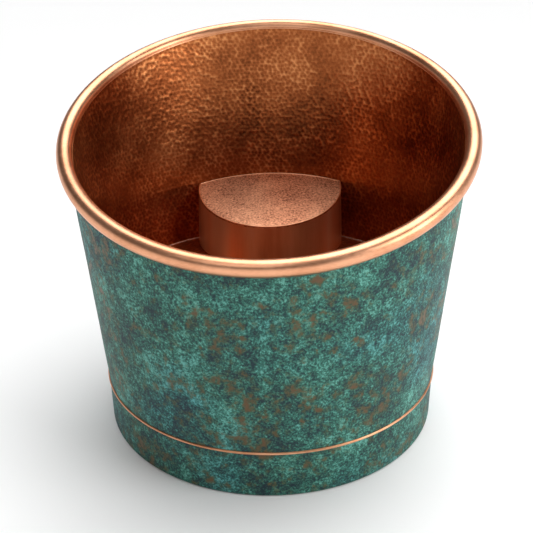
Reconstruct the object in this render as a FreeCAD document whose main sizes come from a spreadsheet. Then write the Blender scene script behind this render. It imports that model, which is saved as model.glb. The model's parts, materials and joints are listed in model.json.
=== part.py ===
import FreeCAD, Part
import math
import os
import Sketcher
from FreeCAD import Placement, Rotation, Vector

# A copper tabletop water fountain. A double-walled vessel with a slanted, rolled rim holds a raised
# basin. At the back of the basin a curved wall closes off a pump chamber, and the chamber's lid slopes
# forward. The pump draws water in through slots at the chamber's foot and drives it up a hose to a
# spreader under the lid's back edge. The water wells up between the lid and the basin, runs forward
# down the lid and falls from its front edge back into the basin.
#
# Frame: millimetres, +Z up, +Y to the high back of the rim, origin on the floor at the vessel's centre.

SIZES = {
    # vessel
    "base_radius": 175.0,
    "band_height": 50.0,
    "taper": 4.0,
    "rim_height": 302.2,
    "rim_tilt": 18.95,
    "sheet": 1.2,
    "wall_gap": 5.8,
    "roll_radius": 7.4,
    "roll_end": -85.0,
    "bead_radius": 1.3,
    "floor_height": 124.0,
    "skirt": 8.0,
    "spacer_height": 200.0,
    "spacer_rise": 16.0,
    "spacer_angle": 5.0,
    "solder": 0.05,
    "trim_margin": 60.0,
    # base plate and feet
    "foot_gap": 1.0,
    "plate_recess": 2.0,
    "pad_radius": 13.0,
    "pad_circle": 145.0,
    "pad_chamfer": 0.5,
    "screw_radius": 2.0,
    "screw_head_radius": 4.0,
    "screw_head_height": 1.4,
    "screw_length": 9.0,
    "nut_radius": 3.6,
    "nut_height": 2.4,
    # pump chamber
    "chamber_aside": -7.4,
    "chamber_back": 148.0,
    "chamber_foot_radius": 88.0,
    "chamber_lean": 2.0,
    "slot_width": 9.0,
    "slot_pitch": 17.0,
    "slot_height": 7.0,
    # lid
    "lid_height": 197.7,
    "lid_slope": 12.6,
    "lid_sheet": 2.0,
    "lid_gap": 2.0,
    "lug_width": 14.0,
    "lug_drop": 7.0,
    "lug_sheet": 1.5,
    "lug_clearance": 0.6,
    # spreader and hose
    "spreader_depth": 14.0,
    "spreader_wall": 1.5,
    "spreader_angle": 40.0,
    "spreader_end_angle": 0.8,
    "spreader_foot": 172.0,
    "spreader_roof": 188.0,
    "weir_gap": 2.5,
    "spigot_height": 179.0,
    "spigot_radius": 4.0,
    "spigot_bore": 2.8,
    "spigot_length": 12.0,
    "hose_wall": 1.5,
    "hose_gap": 1.0,
    # pump, about its own shaft
    "pump_face": 94.0,
    "pump_width": 40.0,
    "pump_height": 32.0,
    "motor_length": 46.0,
    "motor_wall": 2.0,
    "motor_cover": 2.0,
    "volute_length": 12.0,
    "volute_radius": 12.0,
    "volute_depth": 9.0,
    "intake_length": 8.0,
    "intake_wall": 2.0,
    "intake_hole": 2.4,
    "intake_circle": 9.0,
    "volute_hole": 2.3,
    "volute_hole_circle": 6.7,
    "cup_height": 4.0,
    "cup_radius": 6.5,
    "cup_lip": 0.5,
    "cup_stud": 1.6,
    "cup_stud_length": 1.5,
    "cup_aside": 13.0,
    "cup_front": -8.0,
    "cup_rear": -38.0,
    "well_radius": 9.0,
    "well_depth": 24.0,
    "magnet_gap": 0.8,
    "shaft_radius": 1.25,
    "running_fit": 0.05,
    "bush_radius": 3.0,
    "bush_length": 2.5,
    "end_play": 0.4,
    "blade_reach": 10.5,
    "blade_sheet": 1.2,
    "hub_radius": 4.5,
    "seal_radius": 14.0,
    "seal_section": 0.9,
    "dial_radius": 12.5,
    "dial_sheet": 1.5,
    "dial_pin": 2.0,
    "dial_pin_head": 3.2,
    "dial_pin_cap": 1.2,
    "dial_tab_width": 4.0,
    "dial_tab_reach": 16.0,
    "dial_gap": 0.3,
    "elbow_bend": 7.0,
    "elbow_rise": 3.0,
    "elbow_reach": 22.0,
    "core_leg": 6.0,
    "core_height": 8.0,
    "core_inner": 11.0,
    "core_front": 4.0,
    "coil_width": 18.0,
    "coil_build": 4.0,
    # cable grommets
    "lead_radius": 3.1,
    "grommet_radius": 5.0,
    "grommet_flange": 7.5,
    "grommet_lip": 1.5,
    "gland_sleeve": 8.0,
    "grommet_aside": 38.0,
    "grommet_back": 138.0,
    "cable_height": 22.0,
}
FULL_TURN = 360.0
SPACER_COUNT = 8
HOLE_COUNT = 6
BLADE_COUNT = 6
PAD_BEARINGS = (45, 135, 225, 315)
LUG_BEARINGS = (-90, -150, -30)
SLOT_PLACES = (-2, -1, 0, 1, 2)

doc = FreeCAD.newDocument("fountain")
sheet = doc.addObject("Spreadsheet::Sheet", "sizes")
for row, (alias, number) in enumerate(SIZES.items(), start=1):
    sheet.set(f"A{row}", alias)
    sheet.set(f"B{row}", str(number))
    sheet.setAlias(f"B{row}", alias)
doc.recompute()


class Dim:
    """A size that carries the spreadsheet expression it comes from, so sums of sizes stay bound."""

    def __init__(self, value, text):
        self.value = value
        self.text = text

    def __add__(self, other):
        return joined(self, "+", other)

    def __radd__(self, other):
        return joined(other, "+", self)

    def __sub__(self, other):
        return joined(self, "-", other)

    def __rsub__(self, other):
        return joined(other, "-", self)

    def __mul__(self, other):
        return joined(self, "*", other)

    def __rmul__(self, other):
        return joined(other, "*", self)

    def __truediv__(self, other):
        return joined(self, "/", other)

    def __neg__(self):
        return Dim(-self.value, f"(-{self.text})")


def dim(size):
    """A plain number as a Dim, and a Dim as it is."""
    return size if isinstance(size, Dim) else Dim(float(size), repr(float(size)))


def joined(left, sign, right):
    left, right = dim(left), dim(right)
    results = {
        "+": left.value + right.value,
        "-": left.value - right.value,
        "*": left.value * right.value,
        "/": left.value / (right.value or 1.0),
    }
    return Dim(results[sign], f"({left.text} {sign} {right.text})")


def of_angle(function, degrees):
    """sin, cos or tan of an angle in degrees."""
    degrees = dim(degrees)
    value = getattr(math, function)(math.radians(degrees.value))
    return Dim(value, f"{function}({degrees.text})")


def root(size):
    return Dim(math.sqrt(size.value), f"sqrt({size.text})")


def size(alias):
    return Dim(SIZES[alias], f"sizes.{alias}")


def bind(obj, prop, amount):
    """Set a property from a size and keep it bound to the spreadsheet."""
    obj.setExpression(prop, dim(amount).text)


# ---------------------------------------------------------------- shapes of the vessel as sizes

base_radius = size("base_radius")
sheet_metal = size("sheet")
taper_rate = of_angle("tan", size("taper"))
tilt_rate = of_angle("tan", size("rim_tilt"))
slope_rate = of_angle("tan", size("lid_slope"))
lean_rate = of_angle("tan", size("chamber_lean"))
floor_top = size("floor_height")


def outer_radius(height):
    """Outer face of the tapered outer wall at a height above the base band."""
    return base_radius + taper_rate * (height - size("band_height"))


def basin_radius(height):
    """Inner face of the basin wall at a height."""
    return outer_radius(height) - size("wall_gap")


def chamber_radius(height):
    """Outer face of the leaning chamber wall, about the chamber's own axis."""
    return size("chamber_foot_radius") - lean_rate * (height - floor_top)


def rim_plane(y):
    """Height of the slanted plane that the rolled rim lies in."""
    return size("rim_height") + tilt_rate * y


def lid_plane(y):
    """Height of the lid's top face, which meets lid_height above the back edge of the base."""
    return size("lid_height") - slope_rate * (base_radius - y)


lid_drop = size("lid_sheet") / of_angle("cos", size("lid_slope"))


def lid_under(y):
    return lid_plane(y) - lid_drop


# ---------------------------------------------------------------- building blocks

pieces = []


def piece(name, obj):
    """Register a finished sub-part under the name of its node."""
    obj.Label = name
    pieces.append(obj)
    return obj


def new_body(name, at=None, turn=None):
    """A body, placed at a point and turned by degrees about one axis, both bound to sizes."""
    body = doc.addObject("PartDesign::Body", name)
    if turn:
        axis, degrees = turn
        body.Placement = Placement(Vector(0, 0, 0), Rotation(Vector(*axis), dim(degrees).value))
        if isinstance(degrees, Dim):
            bind(body, ".Placement.Rotation.Angle", degrees)
    for letter, amount in zip("xyz", at or ()):
        bind(body, f".Placement.Base.{letter}", amount)
    return body


def new_sketch(body, plane, offset=0.0):
    """An empty sketch on one of the body's own planes, moved along that plane's normal."""
    sketch = body.newObject("Sketcher::SketchObject", f"{body.Name}_sketch")
    origin_plane = next(item for item in body.Origin.OriginFeatures if item.Role == plane)
    sketch.AttachmentSupport = [(origin_plane, "")]
    sketch.MapMode = "FlatFace"
    bind(sketch, ".AttachmentOffset.Base.z", offset)
    return sketch


def hold(sketch, edge, end, x=None, y=None):
    """Hold one end of an edge at its place from the sketch's origin."""
    for kind, amount in (("DistanceX", x), ("DistanceY", y)):
        if amount is not None:
            amount = dim(amount)
            rule = sketch.addConstraint(Sketcher.Constraint(kind, -1, 1, edge, end, amount.value))
            bind(sketch, f"Constraints[{rule}]", amount)


def draw_outline(sketch, corners):
    """Straight lines round a closed outline, each corner held by its sizes."""
    points = [Vector(dim(x).value, dim(y).value, 0) for x, y in corners]
    count = len(points)
    first = sketch.GeometryCount
    for index, start in enumerate(points):
        sketch.addGeometry(Part.LineSegment(start, points[(index + 1) % count]))
    for index, (x, y) in enumerate(corners):
        following = first + (index + 1) % count
        sketch.addConstraint(Sketcher.Constraint("Coincident", first + index, 2, following, 1))
        hold(sketch, first + index, 1, x, y)


def draw_rectangle(sketch, left, right, low, high):
    draw_outline(sketch, [(left, low), (right, low), (right, high), (left, high)])


def draw_circle(sketch, radius, x=0.0, y=0.0):
    centre = Vector(dim(x).value, dim(y).value, 0)
    edge = sketch.addGeometry(Part.Circle(centre, Vector(0, 0, 1), dim(radius).value))
    hold(sketch, edge, 3, x, y)
    rule = sketch.addConstraint(Sketcher.Constraint("Radius", edge, dim(radius).value))
    bind(sketch, f"Constraints[{rule}]", radius)


def draw_arc(sketch, centre, radius, start, end):
    """An arc of bound radius. Its ends are left for the lines that meet it or for hold()."""
    x, y = (dim(amount).value for amount in centre)
    circle = Part.Circle(Vector(x, y, 0), Vector(0, 0, 1), dim(radius).value)
    angles = [math.radians(dim(angle).value) for angle in (start, end)]
    edge = sketch.addGeometry(Part.ArcOfCircle(circle, *angles))
    rule = sketch.addConstraint(Sketcher.Constraint("Radius", edge, dim(radius).value))
    bind(sketch, f"Constraints[{rule}]", radius)
    return edge


def revolve(body, corners, angle=None, cut=False):
    """Turn an outline of (radius, height) corners about the body's Z axis."""
    sketch = new_sketch(body, "XZ_Plane")
    draw_outline(sketch, corners)
    return revolve_sketch(body, sketch, angle, cut)


def revolve_sketch(body, sketch, angle=None, cut=False):
    kind = "Groove" if cut else "Revolution"
    feature = body.newObject(f"PartDesign::{kind}", f"{body.Name}_{kind.lower()}")
    feature.Profile = sketch
    feature.ReferenceAxis = (sketch, ["V_Axis"])
    if angle is None:
        feature.Angle = FULL_TURN
    else:
        feature.Midplane = True
        bind(feature, "Angle", angle)
    sketch.Visibility = False
    return feature


def pad(body, draw, start, length):
    """Raise what draw() sketches from a height by a length."""
    sketch = new_sketch(body, "XY_Plane", start)
    draw(sketch)
    feature = body.newObject("PartDesign::Pad", f"{body.Name}_pad")
    feature.Profile = sketch
    bind(feature, "Length", length)
    return feature


def pocket(body, draw, start, depth):
    """Sink what draw() sketches from a height downwards by a depth."""
    sketch = new_sketch(body, "XY_Plane", start)
    draw(sketch)
    feature = body.newObject("PartDesign::Pocket", f"{body.Name}_pocket")
    feature.Profile = sketch
    bind(feature, "Length", depth)
    return feature


def cut_across(body, corners):
    """Cut an outline of (y, z) corners right through the body along X, both ways."""
    sketch = new_sketch(body, "YZ_Plane")
    draw_outline(sketch, corners)
    feature = body.newObject("PartDesign::Pocket", f"{body.Name}_cut")
    feature.Profile = sketch
    feature.Type = "ThroughAll"
    feature.Midplane = True
    return feature


def pad_across(body, plane, corners, width):
    """Raise an outline by half a width to each side of one of the body's own planes."""
    sketch = new_sketch(body, plane)
    draw_outline(sketch, corners)
    feature = body.newObject("PartDesign::Pad", f"{body.Name}_pad")
    feature.Profile = sketch
    feature.Midplane = True
    bind(feature, "Length", width)
    return feature


def cut_above(body, plane, reach):
    """Cut away everything above a slanted plane, within a reach each way along Y."""
    top = plane(reach) + reach
    cut_across(body, [(-reach, plane(-reach)), (reach, plane(reach)), (reach, top), (-reach, top)])


def polar(body, feature, count):
    """Repeat a feature evenly round the body's Z axis."""
    pattern = body.newObject("PartDesign::PolarPattern", f"{body.Name}_polar")
    pattern.Originals = [feature]
    axis = next(item for item in body.Origin.OriginFeatures if item.Role == "Z_Axis")
    pattern.Axis = (axis, [""])
    pattern.Angle = FULL_TURN
    pattern.Occurrences = count
    body.Tip = pattern
    return pattern


def cone(name, radius_at, low, high, at=(0.0, 0.0)):
    """A plain cone between two heights, used to trim pieces to a tapered wall."""
    solid = doc.addObject("Part::Cone", name)
    bind(solid, "Radius1", radius_at(low))
    bind(solid, "Radius2", radius_at(high))
    bind(solid, "Height", high - low)
    for letter, amount in zip("xyz", (*at, low)):
        bind(solid, f".Placement.Base.{letter}", amount)
    return solid


def common(name, *solids):
    result = doc.addObject("Part::MultiCommon", name)
    result.Shapes = list(solids)
    return result


# ---------------------------------------------------------------- vessel

rim_reach = base_radius + size("trim_margin")
wall_top = rim_plane(base_radius) + size("trim_margin")


def tapered_sheet(name, face, low):
    """A sheet that follows the taper, from a height up to the slanted plane of the rim."""
    body = new_body(name)
    revolve(body, [
        (face(low), low),
        (face(wall_top), wall_top),
        (face(wall_top) - sheet_metal, wall_top),
        (face(low) - sheet_metal, low),
    ])
    cut_above(body, rim_plane, rim_reach)
    return piece(name, body)


def make_base_band():
    body = new_body("base_band")
    revolve(body, [
        (base_radius - sheet_metal, size("foot_gap")),
        (base_radius, size("foot_gap")),
        (base_radius, size("band_height")),
        (base_radius - sheet_metal, size("band_height")),
    ])
    sketch = new_sketch(body, "XZ_Plane")
    draw_circle(sketch, size("grommet_radius"), 0.0, size("cable_height"))
    hole = body.newObject("PartDesign::Pocket", "band_cable_hole")
    hole.Profile = sketch
    bind(hole, "Length", base_radius + sheet_metal)
    return piece("base_band", body)


def make_base_bead():
    """A half-round wire along the top edge of the base band."""
    body = new_body("base_bead")
    sketch = new_sketch(body, "XZ_Plane")
    radius = size("bead_radius")
    centre = size("band_height") - radius
    arc = draw_arc(sketch, (base_radius, centre), radius, -90, 90)
    top = Vector(base_radius.value, (centre + radius).value, 0)
    bottom = Vector(base_radius.value, (centre - radius).value, 0)
    back = sketch.addGeometry(Part.LineSegment(top, bottom))
    sketch.addConstraint(Sketcher.Constraint("Coincident", arc, 2, back, 1))
    sketch.addConstraint(Sketcher.Constraint("Coincident", back, 2, arc, 1))
    hold(sketch, arc, 3, base_radius, centre)
    hold(sketch, back, 1, x=base_radius)
    hold(sketch, back, 2, x=base_radius)
    revolve_sketch(body, sketch)
    return piece("base_bead", body)


def make_rim_roll():
    """The edge rolled outwards to a tube with an open seam below, along the slanted ellipse.

    The tube's centre line is where a cone of the wall's taper meets the rim's plane: an ellipse
    whose centre lies a little up the slope from the vessel's axis.
    """
    centre_radius = outer_radius(size("rim_height")) + size("roll_radius") - size("wall_gap")
    lean = taper_rate * tilt_rate
    squash = 1 - lean * lean
    along = lean * centre_radius / squash
    across_radius = centre_radius / root(squash)
    along_radius = centre_radius / squash / of_angle("cos", size("rim_tilt"))
    body = new_body("rim_roll", (0.0, along, rim_plane(along)), ((1, 0, 0), size("rim_tilt")))
    spine = new_sketch(body, "XY_Plane")
    a, b = across_radius.value, along_radius.value
    spine.addGeometry(Part.Ellipse(Vector(0, b, 0), Vector(a, 0, 0), Vector(0, 0, 0)))
    spine.addConstraint(Sketcher.Constraint("Coincident", 0, 3, -1, 1))
    spine.exposeInternalGeometry(0)
    spine.addConstraint(Sketcher.Constraint("Vertical", 1))
    for axis, radius in ((1, along_radius), (2, across_radius)):
        rule = spine.addConstraint(Sketcher.Constraint("Distance", axis, 2 * radius.value))
        bind(spine, f"Constraints[{rule}]", 2 * radius)

    section = new_sketch(body, "XZ_Plane")
    end = size("roll_end")
    arcs = []
    for radius in (size("roll_radius"), size("roll_radius") - sheet_metal):
        arc = draw_arc(section, (across_radius, 0), radius, end, 180)
        hold(section, arc, 3, across_radius, 0)
        hold(section, arc, 1, y=radius * of_angle("sin", end))
        hold(section, arc, 2, y=0)
        arcs.append((arc, radius.value))
    for point, angle in ((1, math.radians(end.value)), (2, math.pi)):
        ends = [Vector(a + r * math.cos(angle), r * math.sin(angle), 0) for _, r in arcs]
        line = section.addGeometry(Part.LineSegment(*ends))
        section.addConstraint(Sketcher.Constraint("Coincident", line, 1, arcs[0][0], point))
        section.addConstraint(Sketcher.Constraint("Coincident", line, 2, arcs[1][0], point))
    pipe = body.newObject("PartDesign::AdditivePipe", "rim_pipe")
    pipe.Profile = section
    pipe.Spine = (spine, ["Edge1"])
    return piece("rim_roll", body)


def make_basin_floor():
    """The raised floor, turned down at its edge and soldered into the foot of the basin wall."""
    low = floor_top - size("skirt")
    inner = floor_top - sheet_metal
    edge = [basin_radius(z) - size("solder") for z in (floor_top, low, inner)]
    body = new_body("basin_floor")
    revolve(body, [
        (0, inner), (0, floor_top), (edge[0], floor_top), (edge[1], low),
        (edge[1] - sheet_metal, low), (edge[2] - sheet_metal, inner),
    ])
    aside = size("chamber_aside") + size("grommet_aside")
    pocket(body, lambda s: draw_circle(s, size("grommet_radius"), aside, size("grommet_back")),
           floor_top, 2 * sheet_metal)
    return piece("basin_floor", body)


def make_wall_spacers():
    """Solid blocks soldered between the two walls, which carry the basin on the outer wall."""
    body = new_body("wall_spacers")
    body.AllowCompound = True
    low = size("spacer_height")
    high = low + size("spacer_rise")
    gap = size("solder")
    block = revolve(body, [
        (basin_radius(low) + sheet_metal + gap, low),
        (outer_radius(low) - sheet_metal - gap, low),
        (outer_radius(high) - sheet_metal - gap, high),
        (basin_radius(high) + sheet_metal + gap, high),
    ], size("spacer_angle"))
    polar(body, block, SPACER_COUNT)
    return piece("wall_spacers", body)


tapered_sheet("outer_wall", outer_radius, size("band_height"))
tapered_sheet("basin_wall", lambda z: basin_radius(z) + sheet_metal, floor_top - size("skirt"))
make_wall_spacers()
make_base_band()
make_base_bead()
make_rim_roll()
make_basin_floor()

# ---------------------------------------------------------------- base plate and feet

plate_low = size("foot_gap") + size("plate_recess")
plate_top = plate_low + sheet_metal


def pad_place(bearing):
    return [size("pad_circle") * of_angle(function, bearing) for function in ("cos", "sin")]


def make_bottom_plate():
    edge = base_radius - sheet_metal - size("solder")
    flange_top = plate_low + size("skirt")
    body = new_body("bottom_plate")
    revolve(body, [
        (0, plate_low), (edge, plate_low), (edge, flange_top), (edge - sheet_metal, flange_top),
        (edge - sheet_metal, plate_top), (0, plate_top),
    ])

    def screw_holes(sketch):
        for bearing in PAD_BEARINGS:
            draw_circle(sketch, size("screw_radius") + size("running_fit"), *pad_place(bearing))

    pocket(body, screw_holes, plate_top, 2 * sheet_metal)
    return piece("bottom_plate", body)


def make_foot_pad(number, bearing):
    """A round rubber foot with a sunk seat for its screw's head."""
    body = new_body(f"foot_pad_{number}", (*pad_place(bearing), 0.0))
    seat = size("screw_head_radius") + 2 * size("running_fit")
    bore = size("screw_radius") + size("running_fit")
    step = plate_low / 2
    radius = size("pad_radius")
    chamfer = size("pad_chamfer")
    revolve(body, [
        (seat, 0), (radius - chamfer, 0), (radius, chamfer), (radius, plate_low), (bore, plate_low),
        (bore, step), (seat, step),
    ])
    return piece(f"foot_pad_{number}", body)


def screw_set(name, make):
    """Four equal fasteners, one over each foot, in one node."""
    group = doc.addObject("Part::Compound", name)
    group.Links = [make(number, bearing) for number, bearing in enumerate(PAD_BEARINGS, start=1)]
    return piece(name, group)


def make_foot_screw(number, bearing):
    body = new_body(f"foot_screw_{number}", (*pad_place(bearing), 0.0))
    head_top = plate_low / 2
    head_low = head_top - size("screw_head_height")
    tip = head_top + size("screw_length")
    shank = size("screw_radius")
    revolve(body, [
        (0, head_low), (size("screw_head_radius"), head_low), (size("screw_head_radius"), head_top),
        (shank, head_top), (shank, tip), (0, tip),
    ])
    return body


def make_foot_nut(number, bearing):
    body = new_body(f"foot_nut_{number}", (*pad_place(bearing), 0.0))

    def hexagon(sketch):
        corners = [(size("nut_radius") * of_angle("cos", turn), size("nut_radius") * of_angle("sin", turn))
                   for turn in range(0, 360, 60)]
        draw_outline(sketch, corners)
        draw_circle(sketch, size("screw_radius") + size("running_fit"))

    pad(body, hexagon, plate_top, size("nut_height"))
    return body


make_bottom_plate()
for pad_number, pad_bearing in enumerate(PAD_BEARINGS, start=1):
    make_foot_pad(pad_number, pad_bearing)
screw_set("foot_screws", make_foot_screw)
screw_set("foot_nuts", make_foot_nut)

# ---------------------------------------------------------------- pump chamber and lid

chamber_at = (size("chamber_aside"), size("chamber_back"))
trim_top = size("lid_height") + size("trim_margin") / 2


def make_chamber_wall():
    """The leaning curved wall with intake slots at its foot, trimmed to the basin and the lid."""
    ring = new_body("chamber_ring", (*chamber_at, 0.0))
    revolve(ring, [
        (chamber_radius(floor_top), floor_top),
        (chamber_radius(trim_top), trim_top),
        (chamber_radius(trim_top) - sheet_metal, trim_top),
        (chamber_radius(floor_top) - sheet_metal, floor_top),
    ])
    cut_above(ring, lambda y: lid_under(y + size("chamber_back")), rim_reach)

    sketch = new_sketch(ring, "XZ_Plane")
    for place in SLOT_PLACES:
        middle = place * size("slot_pitch")
        draw_rectangle(sketch, middle - size("slot_width") / 2, middle + size("slot_width") / 2,
                       floor_top, floor_top + size("slot_height"))
    slots = ring.newObject("PartDesign::Pocket", "chamber_slots")
    slots.Profile = sketch
    slots.Reversed = True
    bind(slots, "Length", size("chamber_foot_radius") + sheet_metal)

    inside = cone("basin_inside", lambda z: basin_radius(z) - size("solder"), floor_top, trim_top)
    return piece("chamber_wall", common("chamber_wall", ring, inside))


def lid_layer(name, top, bottom):
    """A sloping layer of the lid's plane, wide enough to cover the chamber."""
    body = new_body(name)
    corners = [(0, bottom(0)), (rim_reach, bottom(rim_reach)), (rim_reach, top(rim_reach)), (0, top(0))]
    pad_across(body, "YZ_Plane", corners, 2 * base_radius)
    return body


def make_lid():
    """A half-moon plate: its front edge flush with the chamber wall, its back edge off the basin."""
    low = floor_top
    back = cone("lid_back_edge", lambda z: basin_radius(z) - size("lid_gap"), low, trim_top)
    front = cone("lid_front_edge", chamber_radius, low, trim_top, chamber_at)
    return piece("chamber_lid", common("chamber_lid", lid_layer("lid_layer", lid_plane, lid_under),
                                       back, front))


def make_lug(number, bearing):
    """A tab under the lid that stops it from sliding down its slope."""
    tip = chamber_radius(size("lid_height")) - sheet_metal - size("lug_clearance")
    body = new_body(f"lug_block_{number}", (*chamber_at, 0.0), ((0, 0, 1), bearing))
    low = lid_under(size("chamber_back") - tip) - size("lug_drop")
    half = size("lug_width") / 2
    pad(body, lambda s: draw_rectangle(s, tip - size("lug_sheet"), tip, -half, half), low,
        size("lid_height") - low)
    drop = size("lug_drop")
    layer = lid_layer(f"lug_layer_{number}", lid_under, lambda y: lid_under(y) - drop)
    return piece(f"lid_lug_{number}", common(f"lid_lug_{number}", body, layer))


make_chamber_wall()
make_lid()
for lug_number, lug_bearing in enumerate(LUG_BEARINGS, start=1):
    make_lug(lug_number, lug_bearing)

# ---------------------------------------------------------------- spreader and hose

spreader_front = basin_radius(size("spreader_foot")) - size("spreader_depth")


def make_spreader():
    """A trough along the basin wall. The basin wall is its back, and a weir gap is open above."""
    body = new_body("spreader_sector", turn=((0, 0, 1), 90))
    low, roof = size("spreader_foot"), size("spreader_roof")
    wall = size("spreader_wall")
    behind = rim_reach
    high = size("lid_height")
    revolve(body, [
        (spreader_front, low), (basin_radius(low) - size("solder"), low),
        (basin_radius(high) - size("solder"), high), (spreader_front, high),
    ], size("spreader_angle"))
    inside = size("spreader_angle") - 2 * size("spreader_end_angle")
    revolve(body, [
        (spreader_front + wall, low + wall), (behind, low + wall), (behind, roof),
        (spreader_front + wall, roof),
    ], inside, cut=True)
    revolve(body, [
        (basin_radius(roof) - size("weir_gap"), low + wall), (behind, low + wall), (behind, high + wall),
        (basin_radius(roof) - size("weir_gap"), high + wall),
    ], inside, cut=True)
    trim = lid_layer("spreader_trim", lid_under, lambda y: low - wall)
    pierced = doc.addObject("Part::Cut", "spreader_pierced")
    pierced.Base = common("spreader_under_lid", body, trim)
    bore = doc.addObject("Part::Cylinder", "spreader_bore")
    bind(bore, "Radius", size("spigot_radius") + size("running_fit"))
    bind(bore, "Height", 2 * wall + size("spigot_length"))
    bore.Placement = Placement(Vector(0, 0, 0), Rotation(Vector(1, 0, 0), -90))
    for letter, amount in zip("xyz", (chamber_at[0], spreader_front - size("spigot_length"),
                                      size("spigot_height"))):
        bind(bore, f".Placement.Base.{letter}", amount)
    pierced.Tool = bore
    return piece("spreader_trough", pierced)


def make_spreader_spigot():
    """A short tube soldered through the trough's front, which the hose slides over."""
    at = (chamber_at[0], spreader_front + size("spreader_wall"), size("spigot_height"))
    body = new_body("spreader_spigot", at, ((1, 0, 0), 90))
    length = size("spigot_length") + size("spreader_wall")
    revolve(body, [(size("spigot_bore"), 0), (size("spigot_radius"), 0),
                   (size("spigot_radius"), length), (size("spigot_bore"), length)])
    return piece("spreader_spigot", body)


# The pump's own frame: X to the right, Y up, Z towards the front, origin on the shaft where the
# motor's face meets the volute.
shaft_height = floor_top + size("cup_height") + size("pump_height") / 2
pump_at = (chamber_at[0], size("pump_face"), shaft_height)
pump_top = size("pump_height") / 2
seal_groove = size("seal_section") + 2 * size("running_fit")
outlet_bore = size("spigot_radius") + size("running_fit")
outlet_front = 2 * seal_groove + outlet_bore + size("dial_gap")
elbow_height = pump_top + size("elbow_rise") + size("elbow_bend")
elbow_tip = outlet_front - size("elbow_bend") - size("elbow_reach")


def pump_body(name):
    return new_body(name, pump_at, ((1, 0, 0), 90))


def draw_path(sketch, points, bends):
    """A path through points. bends names the legs that are arcs: centre, radius, first, last angle."""
    for leg, (start, end) in enumerate(zip(points, points[1:])):
        first, last = 1, 2
        if leg in bends:
            centre, radius, start_angle, end_angle = bends[leg]
            if end_angle < start_angle:
                start_angle, end_angle = end_angle, start_angle
                first, last = 2, 1
            edge = draw_arc(sketch, centre, radius, start_angle, end_angle)
        else:
            ends = (Vector(dim(x).value, dim(y).value, 0) for x, y in (start, end))
            edge = sketch.addGeometry(Part.LineSegment(*ends))
        hold(sketch, edge, first, *start)
        hold(sketch, edge, last, *end)


def make_hose():
    """From the pump's elbow to the spreader's spigot: straight over each, with an S between."""
    start = size("pump_face") - elbow_tip - size("spigot_length")
    end = spreader_front - size("hose_gap")
    low, high = shaft_height + elbow_height, size("spigot_height")
    rise = high - low
    bend_start, bend_end = start + size("spigot_length"), end - size("spigot_length")
    run = bend_end - bend_start
    radius = (run * run + rise * rise) / (4 * rise)
    turn = 2 * math.degrees(math.atan2(rise.value, run.value))
    body = new_body("water_hose", (chamber_at[0], 0.0, 0.0))
    spine = new_sketch(body, "YZ_Plane")
    middle = ((bend_start + bend_end) / 2, (low + high) / 2)
    draw_path(spine, [(start, low), (bend_start, low), middle, (bend_end, high), (end, high)], {
        1: ((bend_start, low + radius), radius, -90, turn - 90),
        2: ((bend_end, high - radius), radius, 90 + turn, 90),
    })
    bore = size("spigot_radius") + size("running_fit")
    section = new_sketch(body, "XZ_Plane", -start)
    draw_circle(section, bore + size("hose_wall"), 0.0, low)
    draw_circle(section, bore, 0.0, low)
    pipe = body.newObject("PartDesign::AdditivePipe", "hose_pipe")
    pipe.Profile = section
    pipe.Spine = (spine, [])
    print("hose bend radius", round(radius.value, 1))
    return piece("water_hose", body)


make_spreader()
make_spreader_spigot()
make_hose()

# ---------------------------------------------------------------- pump

half_width = size("pump_width") / 2
half_height = size("pump_height") / 2
motor_back = -size("motor_length")
well_end = -size("well_depth")
bush_end = well_end - size("bush_length")
cavity_front = bush_end - size("motor_wall")
bridge_back = motor_back + size("coil_build") + size("end_play")
core_outer = size("core_inner") + size("core_leg")
core_half = size("core_height") / 2
bearing_end = size("volute_depth") + size("bush_length")
intake_front = size("volute_length") + size("intake_length")


def casing_block(sketch):
    draw_rectangle(sketch, -half_width, half_width, -half_height, half_height)


def ring_of_circles(sketch, radius, circle, count):
    for number in range(count):
        turn = number * FULL_TURN / count
        draw_circle(sketch, radius, circle * of_angle("cos", turn), circle * of_angle("sin", turn))


def make_pump_body():
    """The motor casing: a dry well for the magnet at the front, a cavity for the coil at the back."""
    body = pump_body("pump_body")
    pad(body, casing_block, motor_back, size("motor_length"))
    pocket(body, lambda s: draw_circle(s, size("well_radius")), 0.0, size("well_depth"))
    pocket(body, lambda s: draw_circle(s, size("bush_radius")), well_end, size("bush_length"))
    wall = size("motor_wall")
    pocket(body, lambda s: draw_rectangle(s, wall - half_width, half_width - wall,
                                          wall - half_height, half_height - wall),
           cavity_front, cavity_front - motor_back)

    def leg_slots(sketch):
        draw_rectangle(sketch, size("core_inner"), core_outer, -core_half, core_half)
        draw_rectangle(sketch, -core_outer, -size("core_inner"), -core_half, core_half)

    pocket(body, leg_slots, -size("core_front"), size("motor_length") - size("core_front"))
    studs = new_sketch(body, "XZ_Plane", half_height)
    for aside in (-size("cup_aside"), size("cup_aside")):
        for along in (size("cup_front"), size("cup_rear")):
            draw_circle(studs, size("cup_stud") + size("running_fit"), aside, along)
    holes = body.newObject("PartDesign::Pocket", "stud_holes")
    holes.Profile = studs
    bind(holes, "Length", size("cup_stud_length"))
    return piece("pump_body", body)


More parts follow.
